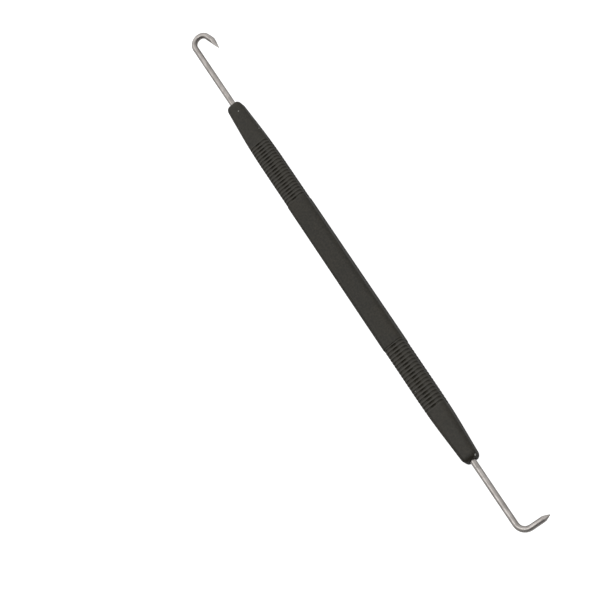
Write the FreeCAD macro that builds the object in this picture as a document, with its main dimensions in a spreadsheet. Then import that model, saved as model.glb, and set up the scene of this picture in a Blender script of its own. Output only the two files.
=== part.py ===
import FreeCAD, Part
import math
import os

import Sketcher
from FreeCAD import Placement, Rotation, Vector

# Double-ended scriber. A moulded plastic handle holds a steel wire at each end: one is bent into a
# hook, the other into a right angle, and both are ground to a point.
#
# Millimetres. The origin is the centre of the flat that the tool rests on, under the middle of the
# handle. +X runs along the handle towards the right-angle point, +Z is up, and both wires bend
# towards +Y.

DIMENSIONS = {
    # Handle, outside. The plain middle stands out from the two grips: by the step on its two
    # sides, and by the rise on its top and bottom, so that the tool rests on it.
    "handle_length": 129.8,
    "handle_width": 6.24,
    "handle_height": 6.24,
    "middle_length": 52.4,
    "middle_step": 0.08,
    "middle_rise": 0.16,
    "corner_radius": 1.3,
    # Beyond the straight stretch, each end narrows round a large radius into a straight taper.
    "end_width": 4.45,
    "end_height": 4.45,
    "straight_length": 84.0,
    "taper_blend_radius": 268.0,
    "end_rounding": 1.2,
    # Grip grooves: a short notch across the middle of each face, flaring from its floor to its
    # mouth. The grip start is measured from the middle of the plain stretch to the centre of the
    # innermost groove. The whole pattern lies slightly nearer the hook end.
    "grip_start": 26.9,
    "grip_offset": 0.55,
    "groove_count": 20,
    "groove_pitch": 1.094,
    "groove_width": 0.5,
    "groove_depth": 0.42,
    "groove_floor_width": 1.5,
    "groove_mouth_width": 2.7,
    # Wire, and how it is held. The last stretch inside the handle is coined flat, so that the
    # wire can neither pull out nor turn.
    "wire_diameter": 1.7,
    "embedded_length": 22.0,
    "coined_length": 4.0,
    "coined_width": 2.15,
    "coined_thickness": 1.15,
    "coined_edge_radius": 0.5,
    "mouth_chamfer": 0.15,
    "tip_diameter": 0.1,
    # Hook: straight out of the handle, round the bend, a short straight leg, then the ground
    # stretch, whose point lies near the wire's inner edge.
    "hook_reach": 23.29,
    "hook_bend_radius": 2.45,
    "hook_turn": 162.0,
    "hook_leg": 2.2,
    "hook_ground": 3.5,
    "hook_tip_offset": 0.77,
    # Right-angle point: the same parts, with the point on the wire's centre line.
    "elbow_reach": 20.9,
    "elbow_bend_radius": 3.12,
    "elbow_turn": 87.0,
    "elbow_leg": 3.65,
    "elbow_ground": 2.15,
    "elbow_tip_offset": 0.0,
}

WITHIN = 1e-4
ORIGIN = -1
HORIZONTAL_AXIS = -1
VERTICAL_AXIS = -2


def add_sheet(document):
    """Put every driving dimension in a sheet, one row each, under its own alias."""
    sheet = document.addObject("Spreadsheet::Sheet", "dims")
    for row, (name, number) in enumerate(DIMENSIONS.items(), start=1):
        sheet.set(f"A{row}", name)
        sheet.set(f"B{row}", str(number))
        sheet.setAlias(f"B{row}", name)
    document.recompute()
    return sheet


def number(holder, expression):
    """The plain number that an expression on the sheet gives now."""
    return float(getattr(holder.evalExpression(expression), "Value", holder.evalExpression(expression)))


def origin_feature(body, role):
    """One of a body's own origin planes or axes."""
    return next(feature for feature in body.Origin.OriginFeatures if feature.Role == role)


def add_sketch(body, name, role, offset="0"):
    """A sketch on one of the body's origin planes, moved along the plane's normal."""
    sketch = body.newObject("Sketcher::SketchObject", name)
    sketch.AttachmentSupport = [(origin_feature(body, role), "")]
    sketch.MapMode = "FlatFace"
    sketch.setExpression(".AttachmentOffset.Base.z", offset)
    return sketch


def drive(sketch, kind, references, expression):
    """Add a dimension to the sketch and bind it to the sheet."""
    value = number(sketch, expression)
    if kind == "Angle":
        value = math.radians(value)
    index = sketch.addConstraint(Sketcher.Constraint(kind, *references, value))
    sketch.setExpression(f"Constraints[{index}]", expression)


def draw_circle(sketch, diameter, offset="0"):
    """A circle on the sketch's horizontal axis."""
    centre = Vector(number(sketch, offset), 0, 0)
    circle = sketch.addGeometry(Part.Circle(centre, Vector(0, 0, 1), number(sketch, diameter) / 2))
    sketch.addConstraint(Sketcher.Constraint("PointOnObject", circle, 3, HORIZONTAL_AXIS))
    drive(sketch, "DistanceX", (ORIGIN, 1, circle, 3), offset)
    drive(sketch, "Diameter", (circle,), diameter)


def draw_notch(sketch, axis, side, floor, mouth):
    """A flared notch across one axis of the sketch, on its positive or negative side. The floor
    and the mouth are each given as a distance from the origin and a width."""
    ends = []
    for (distance, width), turn in ((floor, 1), (mouth, -1)):
        out = side * number(sketch, distance)
        half = turn * number(sketch, width) / 2
        ends += [(out, -half), (out, half)]
    if axis == VERTICAL_AXIS:
        ends = [(across, out) for out, across in ends]
    points = [Vector(x, y, 0) for x, y in ends]
    lines = [sketch.addGeometry(Part.LineSegment(points[index], points[(index + 1) % 4]))
             for index in range(4)]
    for index in range(4):
        following = lines[(index + 1) % 4]
        sketch.addConstraint(Sketcher.Constraint("Coincident", lines[index], 2, following, 1))
    along = "DistanceX" if axis == HORIZONTAL_AXIS else "DistanceY"
    for line, (distance, width) in ((lines[0], floor), (lines[2], mouth)):
        sketch.addConstraint(Sketcher.Constraint("Symmetric", line, 1, line, 2, axis))
        drive(sketch, along, (ORIGIN, 1, line, 1), f"{side} * ({distance})")
        drive(sketch, "Distance", (line,), width)


def draw_rounded_rectangle(sketch, width, height, radius):
    """A rounded rectangle centred on the sketch's origin."""
    corner = number(sketch, radius)
    across = number(sketch, width) / 2 - corner
    up = number(sketch, height) / 2 - corner
    lines = []
    arcs = []
    for quarter, (x, y) in enumerate([(across, -up), (across, up), (-across, up), (-across, -up)]):
        start = math.radians(90 * quarter - 90)
        centre = Vector(x, y, 0)
        out = Vector(math.cos(start), math.sin(start), 0) * corner
        before = Vector(-x, y, 0) if quarter % 2 == 0 else Vector(x, -y, 0)
        lines.append(sketch.addGeometry(Part.LineSegment(before + out, centre + out)))
        circle = Part.Circle(centre, Vector(0, 0, 1), corner)
        arcs.append(sketch.addGeometry(Part.ArcOfCircle(circle, start, start + math.pi / 2)))
    for index in range(4):
        following = lines[(index + 1) % 4]
        sketch.addConstraint(Sketcher.Constraint("Tangent", lines[index], 2, arcs[index], 1))
        sketch.addConstraint(Sketcher.Constraint("Tangent", arcs[index], 2, following, 1))
        direction = "Horizontal" if index % 2 == 0 else "Vertical"
        sketch.addConstraint(Sketcher.Constraint(direction, lines[index]))
    for arc in arcs[1:]:
        sketch.addConstraint(Sketcher.Constraint("Equal", arcs[0], arc))
    sketch.addConstraint(Sketcher.Constraint("Symmetric", arcs[0], 3, arcs[2], 3, ORIGIN, 1))
    drive(sketch, "Radius", (arcs[0],), radius)
    drive(sketch, "DistanceX", (lines[3], 1, lines[1], 1), width)
    drive(sketch, "DistanceY", (lines[0], 1, lines[2], 1), height)


def draw_tapered_outline(sketch, width, end_width):
    """The handle's outline about the sketch's origin: straight sides that narrow at both ends."""
    far = number(sketch, "dims.handle_length / 2")
    straight = number(sketch, "dims.straight_length / 2")
    radius = number(sketch, "dims.taper_blend_radius")
    wide = number(sketch, width) / 2
    narrow = number(sketch, end_width) / 2
    to_corner = Vector(far - straight, radius - wide + narrow, 0)
    slope = math.atan2(to_corner.x, to_corner.y) - math.acos(radius / to_corner.Length)
    touch = Vector(straight + radius * math.sin(slope), wide - radius * (1 - math.cos(slope)), 0)
    quarter_turn = math.pi / 2

    def add_line(side, start, end):
        ends = [Vector(x, y, 0) * side for x, y in (start, end)]
        sketch.addGeometry(Part.LineSegment(*ends))

    def add_blend(side, centre_y, start):
        start += 0 if side > 0 else math.pi
        circle = Part.Circle(Vector(straight, centre_y, 0) * side, Vector(0, 0, 1), radius)
        sketch.addGeometry(Part.ArcOfCircle(circle, start, start + slope))

    for side in (1, -1):
        add_line(side, (-straight, -wide), (straight, -wide))
        add_blend(side, radius - wide, -quarter_turn)
        add_line(side, (touch.x, -touch.y), (far, -narrow))
        add_line(side, (far, -narrow), (far, narrow))
        add_line(side, (far, narrow), (touch.x, touch.y))
        add_blend(side, wide - radius, quarter_turn - slope)

    bottom, lower_blend, right, upper_blend, top, left = 0, 1, 3, 5, 6, 9
    half, whole = 6, 12
    corners = (2, 3)
    for index in range(whole):
        kind = "Coincident" if index % half in corners else "Tangent"
        sketch.addConstraint(Sketcher.Constraint(kind, index, 2, (index + 1) % whole, 1))
    for line, axis in [(bottom, VERTICAL_AXIS), (top, VERTICAL_AXIS),
                       (right, HORIZONTAL_AXIS), (left, HORIZONTAL_AXIS)]:
        sketch.addConstraint(Sketcher.Constraint("Symmetric", line, 1, line, 2, axis))
    sketch.addConstraint(Sketcher.Constraint("Symmetric", bottom, 2, top, 1, HORIZONTAL_AXIS))
    sketch.addConstraint(Sketcher.Constraint("Symmetric", right, 1, left, 2, VERTICAL_AXIS))
    for blend in (upper_blend, lower_blend + half, upper_blend + half):
        sketch.addConstraint(Sketcher.Constraint("Equal", lower_blend, blend))
    drive(sketch, "Radius", (lower_blend,), "dims.taper_blend_radius")
    drive(sketch, "DistanceX", (bottom, 1, bottom, 2), "dims.straight_length")
    drive(sketch, "DistanceX", (left, 2, right, 1), "dims.handle_length")
    drive(sketch, "DistanceY", (bottom, 2, top, 1), width)
    drive(sketch, "DistanceY", (right, 1, right, 2), end_width)


def add_feature(body, kind, name, **settings):
    """Add a PartDesign feature, set its properties, compute it and check that it did something."""
    before = body.Shape.Volume if body.Tip else 0.0
    feature = body.newObject(f"PartDesign::{kind}", name)
    for prop, value in settings.items():
        if prop in ("Length", "Radius", "Size"):
            feature.setExpression(prop, value)
        else:
            setattr(feature, prop, value)
    body.Tip = feature
    body.Document.recompute()
    if abs(body.Shape.Volume - before) < WITHIN:
        raise RuntimeError(f"{name} changed nothing")
    return feature


def edge_names(shape, wanted):
    """The names of the shape's edges that pass a test."""
    return [f"Edge{index}" for index, edge in enumerate(shape.Edges, start=1) if wanted(edge)]


def crosswise_at(distance):
    """A test for edges that lie across the handle, this far from its middle on either side."""
    def wanted(edge):
        level = edge.BoundBox.XLength < WITHIN
        return level and abs(abs(edge.Vertexes[0].X) - distance) < WITHIN
    return wanted


def add_edge_feature(body, kind, name, wanted, **settings):
    """Fillet or chamfer the edges of the body's present shape that pass a test."""
    base = body.Tip
    names = edge_names(base.Shape, wanted)
    if not names:
        raise RuntimeError(f"{name} found no edges")
    return add_feature(body, kind, name, Base=(base, names), **settings)


def build_handle(document):
    """The moulded handle, modelled about its centre line and then lifted onto its flat."""
    body = document.addObject("PartDesign::Body", "handle_body")
    body.Label = "handle"
    body.setExpression("Placement.Base.z", "dims.handle_height / 2")
    shape_handle_blank(body)
    shape_grips(body)
    shape_wire_bores(body)
    return body


def shape_handle_blank(body):
    """The outside of the handle without its grooves."""
    half_length = number(body, "dims.handle_length / 2")
    at_handle_end = crosswise_at(half_length)

    def along_grip(edge):
        box = edge.BoundBox
        return box.XLength > half_length and box.YLength < WITHIN and box.ZLength < WITHIN

    plan = add_sketch(body, "plan_outline", "XY_Plane")
    draw_tapered_outline(plan, "dims.handle_width - 2 * dims.middle_step", "dims.end_width")
    add_feature(body, "Pad", "blank", Profile=plan, Length="dims.handle_height", SideType="Symmetric")

    side = add_sketch(body, "side_outline", "XZ_Plane")
    draw_tapered_outline(side, "dims.handle_height - 2 * dims.middle_rise", "dims.end_height")
    draw_circle(side, "2 * dims.handle_length")
    add_feature(body, "Pocket", "side_trim", Profile=side, Length="dims.handle_length",
                SideType="Symmetric")
    add_edge_feature(body, "Fillet", "long_corners", along_grip, Radius="dims.corner_radius")
    add_edge_feature(body, "Fillet", "rounded_ends", at_handle_end, Radius="dims.end_rounding")

    middle = add_sketch(body, "middle_section", "YZ_Plane", "-dims.grip_offset")
    draw_rounded_rectangle(middle, "dims.handle_width", "dims.handle_height", "dims.corner_radius")
    add_feature(body, "Pad", "plain_middle", Profile=middle, Length="dims.middle_length",
                SideType="Symmetric")


def shape_grips(body):
    """A row of grooves at each end. Each groove is a notch in all four faces."""
    sides = {"hook_grip": "-dims.grip_start - dims.grip_offset + dims.groove_width / 2",
             "elbow_grip": "dims.grip_start - dims.grip_offset + dims.groove_width / 2"}
    faces = {HORIZONTAL_AXIS: "dims.handle_width / 2 - dims.middle_step",
             VERTICAL_AXIS: "dims.handle_height / 2 - dims.middle_rise"}
    mouth_width = "2 * dims.groove_mouth_width - dims.groove_floor_width"
    for name, plane_offset in sides.items():
        notches = add_sketch(body, f"{name}_groove_outline", "YZ_Plane", plane_offset)
        for axis, face in faces.items():
            floor = (f"{face} - dims.groove_depth", "dims.groove_floor_width")
            mouth = (f"{face} + dims.groove_depth", mouth_width)
            draw_notch(notches, axis, 1, floor, mouth)
            draw_notch(notches, axis, -1, floor, mouth)
        groove = add_feature(body, "Pocket", f"{name}_first_groove", Profile=notches,
                             Length="dims.groove_width")
        pattern = body.newObject("PartDesign::LinearPattern", name)
        pattern.Originals = [groove]
        pattern.Direction = (origin_feature(body, "X_Axis"), [""])
        pattern.Reversed = name == "hook_grip"
        pattern.setExpression("Length", "(dims.groove_count - 1) * dims.groove_pitch")
        pattern.setExpression("Occurrences", "dims.groove_count")
        body.Tip = pattern
        body.Document.recompute()


def shape_wire_bores(body):
    """The blind hole that each wire fills: round, then flat where the wire is coined."""
    half_length = number(body, "dims.handle_length / 2")
    wire_radius = number(body, "dims.wire_diameter / 2")
    for name, side in {"hook": -1, "elbow": 1}.items():
        inward = {"Reversed": side < 0}
        bore = add_sketch(body, f"{name}_bore_outline", "YZ_Plane", f"{side} * dims.handle_length / 2")
        draw_circle(bore, "dims.wire_diameter")
        add_feature(body, "Pocket", f"{name}_bore", Profile=bore,
                    Length="dims.embedded_length - dims.coined_length", **inward)
        anchor = add_sketch(body, f"{name}_anchor_outline", "YZ_Plane",
                            f"{side} * (dims.handle_length / 2 - dims.embedded_length + dims.coined_length)")
        draw_rounded_rectangle(anchor, "dims.coined_width", "dims.coined_thickness",
                               "dims.coined_edge_radius")
        add_feature(body, "Pocket", f"{name}_anchor_slot", Profile=anchor,
                    Length="dims.coined_length", **inward)

    def bore_mouth(edge):
        round_edge = isinstance(edge.Curve, Part.Circle) and abs(edge.Curve.Radius - wire_radius) < WITHIN
        return round_edge and abs(abs(edge.Curve.Center.x) - half_length) < WITHIN

    add_edge_feature(body, "Chamfer", "bore_mouths", bore_mouth, Size="dims.mouth_chamfer")


def build_point(document, name, side, prefix):
    """A bent wire. It is modelled from the handle's end face, pointing out along its own +X."""
    body = document.addObject("PartDesign::Body", f"{name}_body")
    body.Label = name
    if side < 0:
        body.Placement = Placement(Vector(), Rotation(Vector(0, 1, 0), 180))
    body.setExpression("Placement.Base.x", f"{side} * dims.handle_length / 2")
    body.setExpression("Placement.Base.z", "dims.handle_height / 2")

    anchor = add_sketch(body, f"{name}_coined_section", "YZ_Plane", "-dims.embedded_length")
    draw_rounded_rectangle(anchor, "dims.coined_width", "dims.coined_thickness",
                           "dims.coined_edge_radius")
    add_feature(body, "Pad", f"{name}_coined_end", Profile=anchor, Length="dims.coined_length")

    path = draw_wire_path(body, name, prefix)
    section = add_sketch(body, f"{name}_wire_section", "YZ_Plane",
                         "dims.coined_length - dims.embedded_length")
    draw_circle(section, "dims.wire_diameter")
    add_feature(body, "AdditivePipe", f"{name}_bent_wire", Profile=section,
                Spine=(path, ["Edge1", "Edge2", "Edge3"]))

    shoulder = add_cross_section(body, f"{name}_shoulder", prefix, f"dims.{prefix}_leg")
    draw_circle(shoulder, "dims.wire_diameter")
    tip = add_cross_section(body, f"{name}_tip", prefix, f"dims.{prefix}_leg + dims.{prefix}_ground")
    draw_circle(tip, "dims.tip_diameter", f"dims.{prefix}_tip_offset")
    add_feature(body, "AdditiveLoft", f"{name}_ground_point", Profile=shoulder, Sections=[tip],
                Ruled=True)
    return body


def draw_wire_path(body, name, prefix):
    """The wire's centre line: a straight shank, a bend towards +Y and a straight leg."""
    path = add_sketch(body, f"{name}_centre_line", "XY_Plane")
    start = number(path, "dims.coined_length - dims.embedded_length")
    reach = number(path, f"dims.{prefix}_reach")
    radius = number(path, f"dims.{prefix}_bend_radius")
    turn = math.radians(number(path, f"dims.{prefix}_turn"))
    leg = number(path, f"dims.{prefix}_leg")
    centre = Vector(reach, radius, 0)
    bend_end = centre + Vector(math.sin(turn), -math.cos(turn), 0) * radius
    leg_end = bend_end + Vector(math.cos(turn), math.sin(turn), 0) * leg
    circle = Part.Circle(centre, Vector(0, 0, 1), radius)
    shank_line = path.addGeometry(Part.LineSegment(Vector(start, 0, 0), Vector(reach, 0, 0)))
    bend = path.addGeometry(Part.ArcOfCircle(circle, -math.pi / 2, turn - math.pi / 2))
    leg_line = path.addGeometry(Part.LineSegment(bend_end, leg_end))
    path.addConstraint(Sketcher.Constraint("PointOnObject", shank_line, 1, HORIZONTAL_AXIS))
    path.addConstraint(Sketcher.Constraint("Horizontal", shank_line))
    path.addConstraint(Sketcher.Constraint("Tangent", shank_line, 2, bend, 1))
    path.addConstraint(Sketcher.Constraint("Tangent", bend, 2, leg_line, 1))
    drive(path, "DistanceX", (ORIGIN, 1, shank_line, 1), "dims.coined_length - dims.embedded_length")
    drive(path, "DistanceX", (ORIGIN, 1, shank_line, 2), f"dims.{prefix}_reach")
    drive(path, "Radius", (bend,), f"dims.{prefix}_bend_radius")
    drive(path, "Angle", (leg_line,), f"dims.{prefix}_turn * 1 deg")
    drive(path, "Distance", (leg_line,), f"dims.{prefix}_leg")
    return path


def add_cross_section(body, name, prefix, along):
    """A sketch square to the leg, some way past the bend, with its X towards the bend's inside."""
    turn = f"dims.{prefix}_turn * 1 deg"
    radius = f"dims.{prefix}_bend_radius"
    sketch = add_sketch(body, name, "YZ_Plane",
                        f"dims.{prefix}_reach + {radius} * sin({turn}) + ({along}) * cos({turn})")
    sketch.AttachmentOffset = Placement(Vector(), Rotation(Vector(0, 1, 0), 90))
    sketch.setExpression(".AttachmentOffset.Base.x",
                         f"{radius} * (1 - cos({turn})) + ({along}) * sin({turn})")
    sketch.setExpression(".AttachmentOffset.Rotation.Angle", turn)
    return sketch


def check(document, pieces):
    """Stop if any object failed, or any piece isn't one valid solid."""
    for item in document.Objects:
        if "Invalid" in item.State or "Error" in item.State:
            raise RuntimeError(f"{item.Name} failed: {item.State}")
    for piece in pieces:
        shape = piece.Shape
        if shape.isNull() or not shape.isValid() or len(shape.Solids) != 1:
            raise RuntimeError(f"{piece.Label} isn't one valid solid")


def main():
    document = FreeCAD.newDocument("scriber")
    add_sheet(document)
    pieces = [
        build_handle(document),
        build_point(document, "hook_point", -1, "hook"),
        build_point(document, "right_angle_point", 1, "elbow"),
    ]
    document.recompute()
    check(document, pieces)
    os.makedirs("parts", exist_ok=True)
    for piece in pieces:
        piece.Shape.exportStep(os.path.join("parts", f"{piece.Label}.step"))
        print(piece.Label, round(piece.Shape.Volume, 2), piece.Shape.BoundBox)


main()
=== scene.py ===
"""The scriber's visual model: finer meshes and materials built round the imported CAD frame."""

import math
from collections import namedtuple

import bpy
import numpy as np
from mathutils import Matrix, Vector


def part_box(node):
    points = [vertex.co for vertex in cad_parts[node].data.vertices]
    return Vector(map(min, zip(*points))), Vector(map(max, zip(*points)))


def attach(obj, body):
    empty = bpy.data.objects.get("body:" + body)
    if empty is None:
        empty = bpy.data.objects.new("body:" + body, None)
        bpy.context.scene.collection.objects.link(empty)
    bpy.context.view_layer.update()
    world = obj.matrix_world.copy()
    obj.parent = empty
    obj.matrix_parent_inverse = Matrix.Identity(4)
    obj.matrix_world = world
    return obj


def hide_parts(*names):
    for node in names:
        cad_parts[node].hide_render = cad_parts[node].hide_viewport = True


MM = 0.001
TINY = 1e-9

# Handle, in millimetres. Its length, width and height come from the frame.
GRIP_OFFSET = -0.55
GRIP_START = 26.9
MIDDLE_HALF_LENGTH = 26.2
MIDDLE_STEP = 0.08
MIDDLE_RISE = 0.16
STEP_LENGTH = 0.08
STRAIGHT_HALF_LENGTH = 42.0
BLEND_RADIUS = 268.0
END_HALF_WIDTH = 2.225
END_ROUNDING = 1.2
END_DOME = 1.6
CORNER_RADIUS = 1.3
LEAST_CORNER = 0.2
BORE_CLEARANCE = 0.01
MOUTH_CHAMFER = 0.15

# Grip grooves, in millimetres. Each is a lens-shaped notch in every face, which reaches
# GROOVE_REACH of the half width to each side of the face's middle, and a shallow line all round.
GROOVE_COUNT = 20
GROOVE_PITCH = 1.094
GROOVE_HALF_WIDTH = 0.33
GROOVE_DEPTH = 0.42
GROOVE_REACH = 0.45
LENS_POWER = 1.6
LINE_DEPTH = 0.13
LINE_HALF_WIDTH = 0.25
LINE_WALL = 0.12

# Paler colour, from 0 to 1: a painted highlight, full on the rims, which lie RIM_PLACE from a
# groove's middle in millimetres, less where they turn the corners; slight on the grips and tapers.
RIM_PLACE = 0.42
RIM_WIDTH = 0.12
CORNER_HIGHLIGHT = 0.8
HIGHLIGHT_FADE_START = 1.2
TAPER_LIGHTENING = 0.14

# Rings of the handle's mesh: distances from a groove's middle, from the plain middle's step and
# between stretches, in millimetres, and how many rings each stretch has. A stretch that starts on
# the last ring of the one before counts that ring too.
GROOVE_RINGS = (0.0, 0.08, 0.14, 0.18, 0.21, 0.24, 0.27, 0.30, 0.34, 0.44)
STEP_RING_REACH = 0.18
RING_GAP = 0.3
STEP_RINGS = 13
MIDDLE_RINGS = 14
TAPER_RINGS = 22
END_RINGS = 15
AROUND_HANDLE = 160

# Wires, in millimetres and degrees. From the handle, each runs straight for its reach, bends
# through its turn, runs straight for its leg, and is ground to a point over its ground length. The
# point ends tip_offset to one side, and a tip_curve under 1 makes it fuller.
WIRE_RADIUS = 0.85
EMBEDDED = 22.0
COINED_LENGTH = 4.0
COINED_HALF_WIDTH = 1.075
COINED_HALF_THICKNESS = 0.575
COINED_CORNER = 0.5
COINED_CHAMFER = 0.15
TIP_RADIUS = 0.05
WIRES = {
    "hook_wire": {"node": "hook_point", "side": -1, "reach": 23.29, "bend": 2.45, "turn": 162.0,
                  "leg": 2.2, "ground": 3.5, "tip_offset": 0.77, "tip_curve": 1.0},
    "right_angle_wire": {"node": "right_angle_point", "side": 1, "reach": 20.9, "bend": 3.12,
                         "turn": 87.0, "leg": 3.65, "ground": 2.15, "tip_offset": 0.0,
                         "tip_curve": 0.85},
}

# Grinding: how much squarer the point's section gets, and the shares of the ground length over
# which the flats and the cross marks begin.
FLAT_SHARE = 0.45
FLATS_BEGIN = 0.25
MARKS_BEGIN = 0.08

# Rings of a wire's mesh, counted as the handle's are. The shaft's start just inside the handle.
SHAFT_RINGS_START = -1.0
SHAFT_RINGS = 24
BEND_RINGS = 48
LEG_RINGS = 6
GROUND_RINGS = 25
AROUND_WIRE = 48

# One ring of a wire: how far along the wire it is, its place and heading in plan, its section, the
# point's shift to one side, and how much of it is ground.
WireRing = namedtuple(
    "WireRing", "run x y heading half_width half_height corner offset ground", defaults=(0.0, 0.0))

# Dust specks on the handle's surface: their places and radii, in millimetres.
SPECKS = [((-61.2, 0.6, 5.5), 0.15), ((-52.75, 2.6, 5.1), 0.17), ((40.7, -1.9, 6.05), 0.15),
          ((64.55, 1.65, 4.5), 0.30)]

# Surfaces: linear colours and roughnesses. A material runs from its first tone or roughness to its
# second as its noise crosses the span given for it.
TONE_SPAN = (0.38, 0.62)
ROUGHNESS_SPAN = (0.3, 0.7)
PLASTIC_TONES = ((0.0095, 0.0075, 0.0015), (0.0330, 0.0275, 0.0165))
# The paler colour that paints the highlight on the groove rims.
PLASTIC_HIGHLIGHT = (0.060, 0.054, 0.043, 1.0)
PLASTIC_ROUGHNESS = (0.42, 0.54)
GRAIN_SHARE = 0.65
DUST = (0.50, 0.51, 0.48, 1.0)
STEEL_TONES = ((0.38, 0.352, 0.330), (0.66, 0.62, 0.59))
STEEL_ROUGHNESS = (0.24, 0.34)
BUMP_STRENGTH = 0.35

# Noise: scale per millimetre and detail for the plastic, and scales along and across the wire for
# the steel, with the heights of their bumps in millimetres.
PATCHES = (0.22, 4.0)
GRAIN = (1.6, 5.0)
GRAIN_HEIGHT = 0.03
DRAWN_LINES = (0.06, 3.0, 3.0)
GROUND_MARKS = (14.0, 1.5, 1.5)
BLOTCHES = (0.5, 0.9, 0.9)
STEEL_DETAIL = 3.0
LINE_HEIGHT = 0.02

# Camera, in metres and degrees, with its lens and sensor in millimetres.
CAMERA_PLACE = (0.288279, 0.097567, 0.557051)
CAMERA_TURN = (17.010, 24.371, 57.645)
CAMERA_LENS = 140.01
CAMERA_SENSOR = 36.0

# Light tent: the direction where it is brightest, and its greys from the dark side, 0, to the
# bright side, 1.
TENT_AXIS = (-0.72, 0.12, 0.68)
TENT_STOPS = [(0.12, 0.04), (0.35, 0.12), (0.55, 0.36), (0.75, 0.62), (0.96, 0.82)]
TENT_STRENGTH = 1.0

# Key light: a strip overhead, in metres, degrees and watts.
KEY_PLACE = (-0.14, -0.37, 1.0)
KEY_SIZE = (1.3, 0.20)
KEY_TURN = 21.0
KEY_POWER = 1.35

# White sheet: half its side in metres, its own grey, and how much it glows for the light that it
# gives the tool and for the camera.
FLOOR_HALF_SIZE = 3.0
FLOOR_GREY = (0.5, 0.5, 0.5, 1.0)
FLOOR_GLOW = 0.09
FLOOR_SEEN = 0.95


def smooth(t):
    """0 below t = 0, 1 above t = 1, with an S curve between."""
    t = np.clip(t, 0.0, 1.0)
    return t * t * (3.0 - 2.0 * t)


def section(half_width, half_height, corner, count):
    """Points of a rounded rectangle, one for each of count equal angles about its centre."""
    angle = np.arange(count) * 2.0 * math.pi / count
    cosine = np.maximum(np.abs(np.cos(angle)), TINY)
    sine = np.maximum(np.abs(np.sin(angle)), TINY)
    arc_y, arc_z = half_width - corner, half_height - corner
    along = cosine * arc_y + sine * arc_z
    root = np.maximum(along ** 2 - (arc_y ** 2 + arc_z ** 2 - corner ** 2), 0.0)
    on_side = half_width * sine / cosine <= arc_z
    on_top = half_height * cosine / sine <= arc_y
    reach = np.where(on_side, half_width / cosine,
                     np.where(on_top, half_height / sine, along + np.sqrt(root)))
    return np.stack([reach * np.cos(angle), reach * np.sin(angle)], axis=1)


def new_piece(name, rings, material):
    """A closed mesh lofted through rings of points, with a fan at each end."""
    rings = np.asarray(rings)
    ring_count, around = rings.shape[:2]
    points = np.concatenate([rings.reshape(-1, 3), rings[[0, -1]].mean(axis=1)]) * MM
    faces = []
    for ring in range(ring_count - 1):
        low, high = ring * around, (ring + 1) * around
        for index in range(around):
            after = (index + 1) % around
            faces.append((low + index, high + index, high + after, low + after))
    first_centre, last_centre = ring_count * around, ring_count * around + 1
    last = (ring_count - 1) * around
    for index in range(around):
        after = (index + 1) % around
        faces.append((first_centre, index, after))
        faces.append((last_centre, last + after, last + index))
    mesh = bpy.data.meshes.new(name)
    mesh.from_pydata(points.tolist(), [], faces)
    mesh.validate()
    mesh.polygons.foreach_set("use_smooth", [True] * len(mesh.polygons))
    mesh.materials.append(material)
    piece = bpy.data.objects.new(name, mesh)
    bpy.context.scene.collection.objects.link(piece)
    return piece


def handle_half_size(x, half_length, straight_half):
    """Half the handle's width or height at x, from straight_half in its straight part: an arc
    leads from there into a straight taper to the end."""
    run = half_length - STRAIGHT_HALF_LENGTH
    drop = straight_half - END_HALF_WIDTH
    centre_to_end = np.hypot(run, BLEND_RADIUS - drop)
    slope = math.atan2(run, BLEND_RADIUS - drop) - math.acos(BLEND_RADIUS / centre_to_end)
    past = max(abs(x) - STRAIGHT_HALF_LENGTH, 0.0)
    arc_run = BLEND_RADIUS * math.sin(slope)
    if past < arc_run:
        narrowed = BLEND_RADIUS - math.sqrt(BLEND_RADIUS ** 2 - past ** 2)
    else:
        narrowed = BLEND_RADIUS * (1 - math.cos(slope)) + (past - arc_run) * math.tan(slope)
    return straight_half - narrowed


def middle_share(x):
    """1 on the plain middle, 0 on the grips, with a short slope between."""
    return float(smooth(0.5 + (MIDDLE_HALF_LENGTH - abs(x - GRIP_OFFSET)) / STEP_LENGTH))


def groove_distance(x):
    """The distance along the handle to the centre line of the nearest groove."""
    past = (abs(x - GRIP_OFFSET) - GRIP_START) / GROOVE_PITCH
    nearest = min(max(round(past), 0), GROOVE_COUNT - 1)
    return abs(past - nearest) * GROOVE_PITCH


def face_share(points):
    """How far each point of a section is from the middle of its face: 0 there, 1 at a corner."""
    return np.abs(points).min(axis=1) / np.abs(points).max(axis=1)


def groove_depths(x, points):
    """How deep the handle is cut at each point of its section: a deep lens-shaped notch in the
    middle of each face, and a shallow line that runs on round the corners."""
    away = groove_distance(x)
    notch = (1.0 - (face_share(points) / GROOVE_REACH) ** 2
             - (away / GROOVE_HALF_WIDTH) ** LENS_POWER)
    line = LINE_DEPTH * smooth((LINE_HALF_WIDTH - away) / LINE_WALL)
    return np.maximum(GROOVE_DEPTH * np.maximum(notch, 0.0), line)


def rim_highlight_at(x, points):
    """How much paler the handle is painted at each point: a painted highlight, most on the rims
    between the grooves, and least on the plain middle."""
    beside = math.exp(-(((groove_distance(x) - RIM_PLACE) / RIM_WIDTH) ** 2))
    by_notch = np.clip(HIGHLIGHT_FADE_START - face_share(points) / GROOVE_REACH, CORNER_HIGHLIGHT, 1.0)
    return np.maximum(beside * by_notch, TAPER_LIGHTENING * (1.0 - middle_share(x)))


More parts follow.
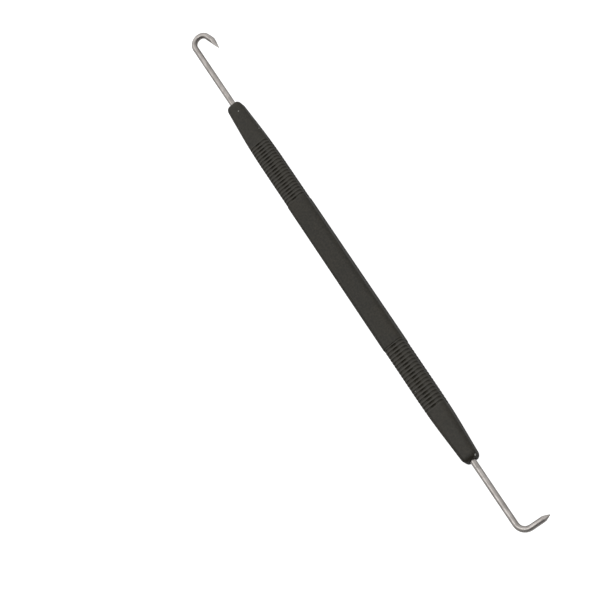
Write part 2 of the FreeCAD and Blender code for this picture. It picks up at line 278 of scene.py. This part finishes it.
def handle_stations(half_length):
    """Where the rings stand along the handle, between the roundings of its two ends."""
    within_groove = np.array(GROOVE_RINGS)
    within_groove = np.concatenate([-within_groove[:0:-1], within_groove])
    centres = GRIP_START + np.arange(GROOVE_COUNT) * GROOVE_PITCH
    grip = (centres[:, None] + within_groove).ravel()
    step = MIDDLE_HALF_LENGTH + np.linspace(-STEP_RING_REACH, STEP_RING_REACH, STEP_RINGS)
    middle = np.linspace(0.0, MIDDLE_HALF_LENGTH - RING_GAP, MIDDLE_RINGS)[1:]
    half = np.concatenate([middle, step, grip])
    textured = GRIP_OFFSET + np.concatenate([-half[::-1], [0.0], half])
    last = half_length - END_DOME
    return np.concatenate([np.linspace(-last, textured[0] - RING_GAP, TAPER_RINGS), textured,
                           np.linspace(textured[-1] + RING_GAP, last, TAPER_RINGS)])


def build_handle(low, high, material):
    """The moulded handle with its rounded grooves, rounded ends and the bores the wires fill."""
    half_length = (high.x - low.x) / 2 / MM
    half_width = (high.y - low.y) / 2 / MM
    half_height = (high.z - low.z) / 2 / MM

    def ring(x, points):
        return np.column_stack([np.full(len(points), x), points[:, 0], points[:, 1] + half_height])

    def outer(x, inset=0.0):
        across = handle_half_size(x, half_length, half_width - MIDDLE_STEP)
        up = handle_half_size(x, half_length, half_height - MIDDLE_RISE)
        across += MIDDLE_STEP * middle_share(x) - inset
        up += MIDDLE_RISE * middle_share(x) - inset
        points = section(across, up, max(CORNER_RADIUS - inset, LEAST_CORNER), AROUND_HANDLE)
        depths = groove_depths(x, points)
        return points * (1.0 - depths / np.abs(points).max(axis=1))[:, None]

    def round_section(radius):
        return section(radius, radius, radius, AROUND_HANDLE)

    bore = WIRE_RADIUS + BORE_CLEARANCE
    anchor = section(COINED_HALF_WIDTH + BORE_CLEARANCE, COINED_HALF_THICKNESS + BORE_CLEARANCE,
                     COINED_CORNER, AROUND_HANDLE)
    coined_start = half_length - EMBEDDED + COINED_LENGTH
    end = []
    for angle in np.linspace(0.0, math.pi / 2, END_RINGS)[1:]:
        inset = END_ROUNDING * (1.0 - math.cos(angle))
        x = half_length - END_DOME * (1.0 - math.sin(angle))
        end.append((x, outer(x, inset)))
    end += [
        (half_length, round_section(bore + MOUTH_CHAMFER)),
        (half_length - MOUTH_CHAMFER, round_section(bore)),
        (coined_start, round_section(bore)),
        (coined_start, anchor),
        (half_length - EMBEDDED - BORE_CLEARANCE, anchor),
    ]
    stations = handle_stations(half_length)
    rings = [ring(-x, points) for x, points in reversed(end)]
    rings += [ring(x, outer(x)) for x in stations]
    rings += [ring(x, points) for x, points in end]
    piece = new_piece("moulded_handle", rings, material)
    # Painted highlight: the rims between the grooves are given a paler colour, as if lit.
    rim_highlight = np.full((len(rings), AROUND_HANDLE), TAPER_LIGHTENING)
    for index, x in enumerate(stations, start=len(end)):
        rim_highlight[index] = rim_highlight_at(x, rings[index][:, 1:] - [0.0, half_height])
    attribute = piece.data.attributes.new("rim_highlight", "FLOAT", "POINT")
    attribute.data.foreach_set("value", np.append(rim_highlight.ravel(), [0.0, 0.0]))
    return piece


def wire_rings(spec):
    """The rings of one wire, from its flat end inside the handle to its ground point. Run and x
    start at the handle's end."""
    reach, bend, turn = spec["reach"], spec["bend"], math.radians(spec["turn"])
    round_length = EMBEDDED - COINED_LENGTH
    round_wire = (WIRE_RADIUS, WIRE_RADIUS, WIRE_RADIUS)
    rings = []
    for x in (-EMBEDDED, -EMBEDDED + COINED_CHAMFER, -round_length - COINED_CHAMFER):
        shrink = COINED_CHAMFER if x == -EMBEDDED else 0.0
        rings.append(WireRing(x, x, 0.0, 0.0, COINED_HALF_WIDTH - shrink,
                              COINED_HALF_THICKNESS - shrink, COINED_CORNER - shrink))
    shaft = np.linspace(SHAFT_RINGS_START, reach, SHAFT_RINGS)
    for x in np.concatenate([[-round_length + COINED_CHAMFER], shaft]):
        rings.append(WireRing(x, x, 0.0, 0.0, *round_wire))
    for angle in np.linspace(0.0, turn, BEND_RINGS)[1:]:
        rings.append(WireRing(reach + bend * angle, reach + bend * math.sin(angle),
                              bend * (1.0 - math.cos(angle)), angle, *round_wire))
    start = np.array([reach + bend * math.sin(turn), bend * (1.0 - math.cos(turn))])
    forward = np.array([math.cos(turn), math.sin(turn)])
    bend_end = reach + bend * turn
    for length in np.linspace(0.0, spec["leg"], LEG_RINGS)[1:]:
        rings.append(WireRing(bend_end + length, *(start + forward * length), turn, *round_wire))
    for share in np.linspace(0.0, 1.0, GROUND_RINGS)[1:]:
        length = spec["leg"] + spec["ground"] * share
        radius = TIP_RADIUS + (WIRE_RADIUS - TIP_RADIUS) * (1.0 - share) ** spec["tip_curve"]
        corner = radius * (1.0 - FLAT_SHARE * float(smooth(share / FLATS_BEGIN)))
        rings.append(WireRing(bend_end + length, *(start + forward * length), turn, radius, radius,
                              corner, spec["tip_offset"] * share,
                              float(smooth(share / MARKS_BEGIN))))
    return rings


def build_wire(name, spec, handle_end, height, material):
    """A bent wire swept through its rings, with each point's place on the straight wire and its
    share of grinding kept for the steel's marks."""
    rings, straightened, ground_share = [], [], []
    for ring in wire_rings(spec):
        points = section(ring.half_width, ring.half_height, ring.corner, AROUND_WIRE)
        across = np.array([-math.sin(ring.heading), math.cos(ring.heading)])
        centre = np.array([ring.x, ring.y]) + across * ring.offset
        plan = centre + points[:, :1] * across
        rings.append(np.column_stack([spec["side"] * (handle_end + plan[:, 0]), plan[:, 1],
                                      height + points[:, 1]]))
        straightened.append(np.column_stack([np.full(len(points), ring.run), points]))
        ground_share.append(np.full(len(points), ring.ground))
    if spec["side"] < 0:
        rings = [points[::-1] for points in rings]
        straightened = [points[::-1] for points in straightened]
    piece = new_piece(name, rings, material)
    ends = [straightened[index].mean(axis=0, keepdims=True) for index in (0, -1)]
    place = piece.data.attributes.new("wire_place", "FLOAT_VECTOR", "POINT")
    place.data.foreach_set("vector", np.concatenate(straightened + ends).ravel())
    ground = piece.data.attributes.new("wire_ground", "FLOAT", "POINT")
    ground.data.foreach_set("value", np.concatenate(ground_share + [[0.0], [1.0]]))
    return piece


def node_maker(tree):
    """A function that adds a node, sets its properties and inputs, and returns it."""
    def make(kind, inputs=None, **properties):
        node = tree.nodes.new(kind)
        for key, value in properties.items():
            setattr(node, key, value)
        for key, value in (inputs or {}).items():
            socket = node.inputs[key]
            if isinstance(value, bpy.types.NodeSocket):
                tree.links.new(value, socket)
            else:
                socket.default_value = value
        return node
    return make


def colour_ramp(make, source, stops):
    """A ramp from (position, grey or colour) stops."""
    ramp = make("ShaderNodeValToRGB", {"Fac": source})
    elements = ramp.color_ramp.elements
    while len(elements) < len(stops):
        elements.new(0.5)
    for element, (position, colour) in zip(elements, stops):
        element.position = position
        element.color = (*colour, 1.0) if isinstance(colour, tuple) else (colour,) * 3 + (1.0,)
    return ramp.outputs["Color"]


def noise(make, place, scale, detail):
    """Procedural noise, from 0 to 1, at these places."""
    inputs = {"Vector": place, "Scale": scale, "Detail": detail}
    return make("ShaderNodeTexNoise", inputs).outputs["Fac"]


def mixed_colour(make, share, first, second):
    """The first colour where share is 0 and the second where it is 1."""
    inputs = {"Factor": share, "A": first, "B": second}
    return make("ShaderNodeMix", inputs, data_type="RGBA").outputs["Result"]


def start_material(name):
    """A material with an empty node tree, and the function that adds its nodes."""
    material = bpy.data.materials.new(name)
    material.use_nodes = True
    material.node_tree.nodes.clear()
    return material, node_maker(material.node_tree)


def speck_share(make, place):
    """1 inside a dust speck, 0 elsewhere."""
    share = 0.0
    for centre, radius in SPECKS:
        away = make("ShaderNodeVectorMath", {0: place, 1: centre}, operation="DISTANCE")
        inside = make("ShaderNodeMath", {0: away.outputs["Value"], 1: radius},
                      operation="LESS_THAN").outputs[0]
        share = make("ShaderNodeMath", {0: inside, 1: share}, operation="MAXIMUM").outputs[0]
    return share


def plastic_material():
    """Dark moulded plastic: fine grain, patchy sheen, a painted highlight on the groove rims and a
    few dust specks.
    """
    material, make = start_material("moulded_plastic")
    metres = make("ShaderNodeTexCoord").outputs["Object"]
    place = make("ShaderNodeVectorMath", {0: metres, 1: (1.0 / MM,) * 3},
                 operation="MULTIPLY").outputs[0]
    patches = noise(make, place, *PATCHES)
    grain = noise(make, place, *GRAIN)
    tone = make("ShaderNodeMix", {"Factor": GRAIN_SHARE, "A": patches, "B": grain})
    base = colour_ramp(make, tone.outputs["Result"], list(zip(TONE_SPAN, PLASTIC_TONES)))
    # Painted highlight: a paler colour on the groove rims, as if they caught the light.
    rim_highlight = make("ShaderNodeAttribute", attribute_name="rim_highlight").outputs["Fac"]
    highlighted = mixed_colour(make, rim_highlight, base, PLASTIC_HIGHLIGHT)
    colour = mixed_colour(make, speck_share(make, place), highlighted, DUST)
    rough = colour_ramp(make, patches, list(zip(ROUGHNESS_SPAN, PLASTIC_ROUGHNESS)))
    bump = make("ShaderNodeBump", {"Height": grain, "Strength": BUMP_STRENGTH,
                                   "Distance": GRAIN_HEIGHT * MM})
    shader = make("ShaderNodeBsdfPrincipled", {
        "Base Color": colour, "Roughness": rough, "Specular IOR Level": 0.5,
        "Normal": bump.outputs["Normal"]})
    make("ShaderNodeOutputMaterial", {"Surface": shader.outputs["BSDF"]})
    return material


def steel_material():
    """Drawn satin wire: lines along its length, and cross marks where the point is ground."""
    material, make = start_material("drawn_steel")
    place = make("ShaderNodeAttribute", attribute_name="wire_place").outputs["Vector"]
    ground = make("ShaderNodeAttribute", attribute_name="wire_ground").outputs["Fac"]

    def stretched(scale):
        vector = make("ShaderNodeVectorMath", {0: place, 1: scale}, operation="MULTIPLY")
        return noise(make, vector.outputs[0], 1.0, STEEL_DETAIL)

    drawn = stretched(DRAWN_LINES)
    marks = stretched(GROUND_MARKS)
    blotches = stretched(BLOTCHES)
    lines = make("ShaderNodeMix", {"Factor": ground, "A": drawn, "B": marks}).outputs["Result"]
    total = make("ShaderNodeMath", {0: lines, 1: blotches}, operation="ADD").outputs[0]
    tone = make("ShaderNodeMath", {0: total, 1: 0.5}, operation="MULTIPLY").outputs[0]
    base = colour_ramp(make, tone, list(zip(TONE_SPAN, STEEL_TONES)))
    rough = colour_ramp(make, lines, list(zip(ROUGHNESS_SPAN, STEEL_ROUGHNESS)))
    bump = make("ShaderNodeBump", {"Height": lines, "Strength": BUMP_STRENGTH,
                                   "Distance": LINE_HEIGHT * MM})
    shader = make("ShaderNodeBsdfPrincipled", {
        "Base Color": base, "Metallic": 1.0, "Roughness": rough, "Normal": bump.outputs["Normal"]})
    make("ShaderNodeOutputMaterial", {"Surface": shader.outputs["BSDF"]})
    return material


def floor_material():
    """A white sheet lit from below, so that the camera sees it almost pure white."""
    material, make = start_material("white_sheet")
    seen = make("ShaderNodeLightPath").outputs["Is Camera Ray"]
    glow = make("ShaderNodeMapRange", {"Value": seen, "To Min": FLOOR_GLOW, "To Max": FLOOR_SEEN})
    sheet = make("ShaderNodeBsdfDiffuse", {"Color": FLOOR_GREY})
    lit = make("ShaderNodeEmission", {"Strength": glow.outputs[0]})
    both = make("ShaderNodeAddShader", {0: sheet.outputs[0], 1: lit.outputs[0]})
    make("ShaderNodeOutputMaterial", {"Surface": both.outputs[0]})
    return material


def add_floor():
    """The sheet that the tool lies on, which isn't part of the tool."""
    mesh = bpy.data.meshes.new("floor")
    half = FLOOR_HALF_SIZE
    corners = [(-half, -half, 0), (half, -half, 0), (half, half, 0), (-half, half, 0)]
    mesh.from_pydata(corners, [], [(0, 1, 2, 3)])
    mesh.materials.append(floor_material())
    floor = bpy.data.objects.new("floor", mesh)
    bpy.context.scene.collection.objects.link(floor)


def add_key_light():
    """A rectangular light that faces straight down, turned about the vertical."""
    data = bpy.data.lights.new("key", "AREA")
    data.shape = "RECTANGLE"
    data.size, data.size_y = KEY_SIZE
    data.energy = KEY_POWER
    light = bpy.data.objects.new("key", data)
    light.location = KEY_PLACE
    light.rotation_euler = (0.0, 0.0, math.radians(KEY_TURN))
    bpy.context.scene.collection.objects.link(light)


def add_world():
    """A pale tent, brightest high beyond the hook and darkest low beyond the other end."""
    world = bpy.data.worlds.new("studio")
    bpy.context.scene.world = world
    world.use_nodes = True
    world.node_tree.nodes.clear()
    make = node_maker(world.node_tree)
    direction = make("ShaderNodeTexCoord").outputs["Generated"]
    facing = make("ShaderNodeVectorMath", {0: direction, 1: TENT_AXIS},
                  operation="DOT_PRODUCT").outputs["Value"]
    share = make("ShaderNodeMapRange", {"Value": facing, "From Min": -1.0, "From Max": 1.0})
    light = colour_ramp(make, share.outputs[0], TENT_STOPS)
    background = make("ShaderNodeBackground", {"Color": light, "Strength": TENT_STRENGTH})
    make("ShaderNodeOutputWorld", {"Surface": background.outputs[0]})


def add_camera():
    """The scene's camera, above the tool and beyond its right-angle end."""
    data = bpy.data.cameras.new("camera")
    data.lens = CAMERA_LENS
    data.sensor_width = CAMERA_SENSOR
    camera = bpy.data.objects.new("camera", data)
    camera.location = CAMERA_PLACE
    camera.rotation_euler = [math.radians(angle) for angle in CAMERA_TURN]
    bpy.context.scene.collection.objects.link(camera)
    bpy.context.scene.camera = camera


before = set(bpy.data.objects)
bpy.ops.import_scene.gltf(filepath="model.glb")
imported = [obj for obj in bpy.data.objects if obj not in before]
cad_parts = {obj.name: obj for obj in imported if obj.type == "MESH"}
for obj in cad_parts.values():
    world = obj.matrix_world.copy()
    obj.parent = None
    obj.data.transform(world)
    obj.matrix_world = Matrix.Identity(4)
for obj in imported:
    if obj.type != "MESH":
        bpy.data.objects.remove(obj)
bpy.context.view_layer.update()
handle_low, handle_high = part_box("handle")
wire_start = (handle_high.x - handle_low.x) / 2 / MM
wire_height = (handle_high.z + handle_low.z) / 2 / MM
plastic, steel = plastic_material(), steel_material()

handle = build_handle(handle_low, handle_high, plastic)
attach(handle, "root")
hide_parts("handle")
for wire_name, wire_spec in WIRES.items():
    wire = build_wire(wire_name, wire_spec, wire_start, wire_height, steel)
    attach(wire, "root")
    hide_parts(wire_spec["node"])

add_floor()
add_world()
add_key_light()
add_camera()
bpy.context.scene.view_settings.view_transform = "Standard"
